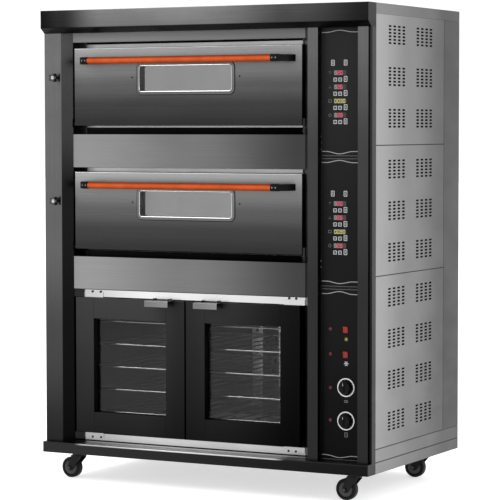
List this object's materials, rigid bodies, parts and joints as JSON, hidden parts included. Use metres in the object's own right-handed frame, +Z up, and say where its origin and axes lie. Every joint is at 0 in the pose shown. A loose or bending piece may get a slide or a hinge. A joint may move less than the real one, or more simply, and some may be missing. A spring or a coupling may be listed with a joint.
{
  "type": "deck oven",
  "caption": "Free-standing bakery deck oven: stacked baking chambers with drop-down doors over a glass-doored proofer, side control column, on swivel casters.",
  "frame": {"origin": "on the floor under the middle of the whole oven's bounding box", "axes": "+Z up; the doors face -Y; +X is to the right of a person standing in front of the doors"},
  "size_m": [1.29, 0.8022, 1.684],
  "materials": {
    "black_steel": "dark mirror-finish stainless steel",
    "silver_steel": "brushed stainless steel",
    "liner_steel": "bright cold-rolled stainless steel",
    "bright_steel": "bright brushed stainless steel",
    "window_trim": "polished dark chrome",
    "oven_glass": "tempered clear glass",
    "proofer_glass": "lightly smoked glass",
    "wool": "mineral wool",
    "hearth_stone": "matt baking stone",
    "heating_rod": "oxidised steel sheath",
    "orange_tube": "satin orange coating",
    "black_plastic": "moulded black plastic",
    "red_key": "gloss red plastic",
    "red_lens": "ribbed red lens",
    "black_frame": "black anodised aluminium",
    "column_black": "satin black film on steel",
    "chrome_wire": "bright chrome plate",
    "caster_steel": "black powder coat",
    "wheel_rubber": "black solid rubber",
    "motor_case": "dark grey enamel",
    "fan_metal": "pressed aluminium"
  },
  "bodies": {
    "cabinet": {"canopy": "black_steel", "base_plinth": "black_steel", "left_post": "black_steel", "inner_post": "black_steel", "outer_post": "black_steel", "front_panels": "black_steel", "top_cover": "silver_steel", "base_frame": "silver_steel", "side_panels_left": "silver_steel", "side_panels_right": "silver_steel", "back_panel": "silver_steel", "chamber_upper": "liner_steel", "chamber_lower": "liner_steel", "proofer_liner": "liner_steel", "water_pan": "liner_steel", "steam_ducts": "liner_steel", "proofer_rails": "bright_steel", "hinge_brackets": "bright_steel", "insulation": "wool", "hearth_stones": "hearth_stone", "heating_elements": "heating_rod", "electrical_fittings": "black_plastic", "indicator_lamps": "red_lens", "control_panels": "column_black", "tray_racks": "chrome_wire", "caster_plates": "caster_steel", "fan_motor": "motor_case"},
    "oven_door_upper": {"door_shell_upper": "black_steel", "door_lining_upper": "liner_steel", "window_frame_upper": "window_trim", "window_panes_upper": "oven_glass", "handle_tube_upper": "orange_tube", "handle_brackets_upper": "black_plastic"},
    "oven_door_lower": {"door_shell_lower": "black_steel", "door_lining_lower": "liner_steel", "window_frame_lower": "window_trim", "window_panes_lower": "oven_glass", "handle_tube_lower": "orange_tube", "handle_brackets_lower": "black_plastic"},
    "proofer_door_left": {"proofer_door_left": "black_frame", "proofer_glass_left": "proofer_glass", "proofer_pull_left": "bright_steel"},
    "proofer_door_right": {"proofer_door_right": "black_frame", "proofer_glass_right": "proofer_glass", "proofer_pull_right": "bright_steel"},
    "damper_upper": {"damper_upper": "chrome_wire"},
    "rocker_upper": {"rocker_upper": "red_key"},
    "knob_upper": {"knob_upper": "black_plastic"},
    "damper_lower": {"damper_lower": "chrome_wire"},
    "rocker_lower": {"rocker_lower": "red_key"},
    "knob_lower": {"knob_lower": "black_plastic"},
    "fork_front_left": {"fork_front_left": "caster_steel"},
    "wheel_front_left": {"wheel_front_left": "wheel_rubber"},
    "fork_front_right": {"fork_front_right": "caster_steel"},
    "wheel_front_right": {"wheel_front_right": "wheel_rubber"},
    "fork_rear_left": {"fork_rear_left": "caster_steel"},
    "wheel_rear_left": {"wheel_rear_left": "wheel_rubber"},
    "fork_rear_right": {"fork_rear_right": "caster_steel"},
    "wheel_rear_right": {"wheel_rear_right": "wheel_rubber"},
    "fan_wheel": {"fan_wheel": "fan_metal"}
  },
  "joints": [
    {"name": "oven_door_upper_hinge", "type": "hinge", "parent": "cabinet", "child": "oven_door_upper", "pos_m": [-0.08325, -0.331, 1.28], "axis": [1, 0, 0], "range_deg": [0, 90]},
    {"name": "oven_door_lower_hinge", "type": "hinge", "parent": "cabinet", "child": "oven_door_lower", "pos_m": [-0.08325, -0.331, 0.84], "axis": [1, 0, 0], "range_deg": [0, 90]},
    {"name": "proofer_door_left_hinge", "type": "hinge", "parent": "cabinet", "child": "proofer_door_left", "pos_m": [-0.525, -0.326, 0.417], "axis": [0, 0, -1], "range_deg": [0, 120]},
    {"name": "proofer_door_right_hinge", "type": "hinge", "parent": "cabinet", "child": "proofer_door_right", "pos_m": [0.352, -0.326, 0.417], "axis": [0, 0, 1], "range_deg": [0, 120]},
    {"name": "damper_upper_slide", "type": "slide", "parent": "cabinet", "child": "damper_upper", "axis": [0, -1, 0], "range_m": [0, 0.06]},
    {"name": "damper_lower_slide", "type": "slide", "parent": "cabinet", "child": "damper_lower", "axis": [0, -1, 0], "range_m": [0, 0.06]},
    {"name": "rocker_upper_tilt", "type": "hinge", "parent": "cabinet", "child": "rocker_upper", "pos_m": [0.5395, -0.341, 0.587], "axis": [-1, 0, 0], "range_deg": [0, 16]},
    {"name": "rocker_lower_tilt", "type": "hinge", "parent": "cabinet", "child": "rocker_lower", "pos_m": [0.5395, -0.341, 0.5025], "axis": [-1, 0, 0], "range_deg": [0, 16]},
    {"name": "knob_upper_turn", "type": "hinge", "parent": "cabinet", "child": "knob_upper", "pos_m": [0.5405, -0.353, 0.39], "axis": [0, 1, 0], "range_deg": [0, 270]},
    {"name": "knob_lower_turn", "type": "hinge", "parent": "cabinet", "child": "knob_lower", "pos_m": [0.5405, -0.353, 0.2765], "axis": [0, 1, 0], "range_deg": [0, 270]},
    {"name": "caster_front_left_swivel", "type": "hinge", "parent": "cabinet", "child": "fork_front_left", "pos_m": [-0.552, -0.298, 0.07], "axis": [0, 0, 1], "continuous": true},
    {"name": "caster_front_left_roll", "type": "hinge", "parent": "fork_front_left", "child": "wheel_front_left", "pos_m": [-0.58, -0.298, 0.0375], "axis": [0, 1, 0], "continuous": true},
    {"name": "caster_front_right_swivel", "type": "hinge", "parent": "cabinet", "child": "fork_front_right", "pos_m": [0.552, -0.298, 0.07], "axis": [0, 0, 1], "continuous": true},
    {"name": "caster_front_right_roll", "type": "hinge", "parent": "fork_front_right", "child": "wheel_front_right", "pos_m": [0.524, -0.298, 0.0375], "axis": [0, 1, 0], "continuous": true},
    {"name": "caster_rear_left_swivel", "type": "hinge", "parent": "cabinet", "child": "fork_rear_left", "pos_m": [-0.552, 0.279, 0.07], "axis": [0, 0, 1], "continuous": true},
    {"name": "caster_rear_left_roll", "type": "hinge", "parent": "fork_rear_left", "child": "wheel_rear_left", "pos_m": [-0.58, 0.279, 0.0375], "axis": [0, 1, 0], "continuous": true},
    {"name": "caster_rear_right_swivel", "type": "hinge", "parent": "cabinet", "child": "fork_rear_right", "pos_m": [0.552, 0.279, 0.07], "axis": [0, 0, 1], "continuous": true},
    {"name": "caster_rear_right_roll", "type": "hinge", "parent": "fork_rear_right", "child": "wheel_rear_right", "pos_m": [0.524, 0.279, 0.0375], "axis": [0, 1, 0], "continuous": true},
    {"name": "fan_spin", "type": "hinge", "parent": "cabinet", "child": "fan_wheel", "pos_m": [-0.08325, 0.33, 0.42], "axis": [0, 1, 0], "continuous": true}
  ]
}
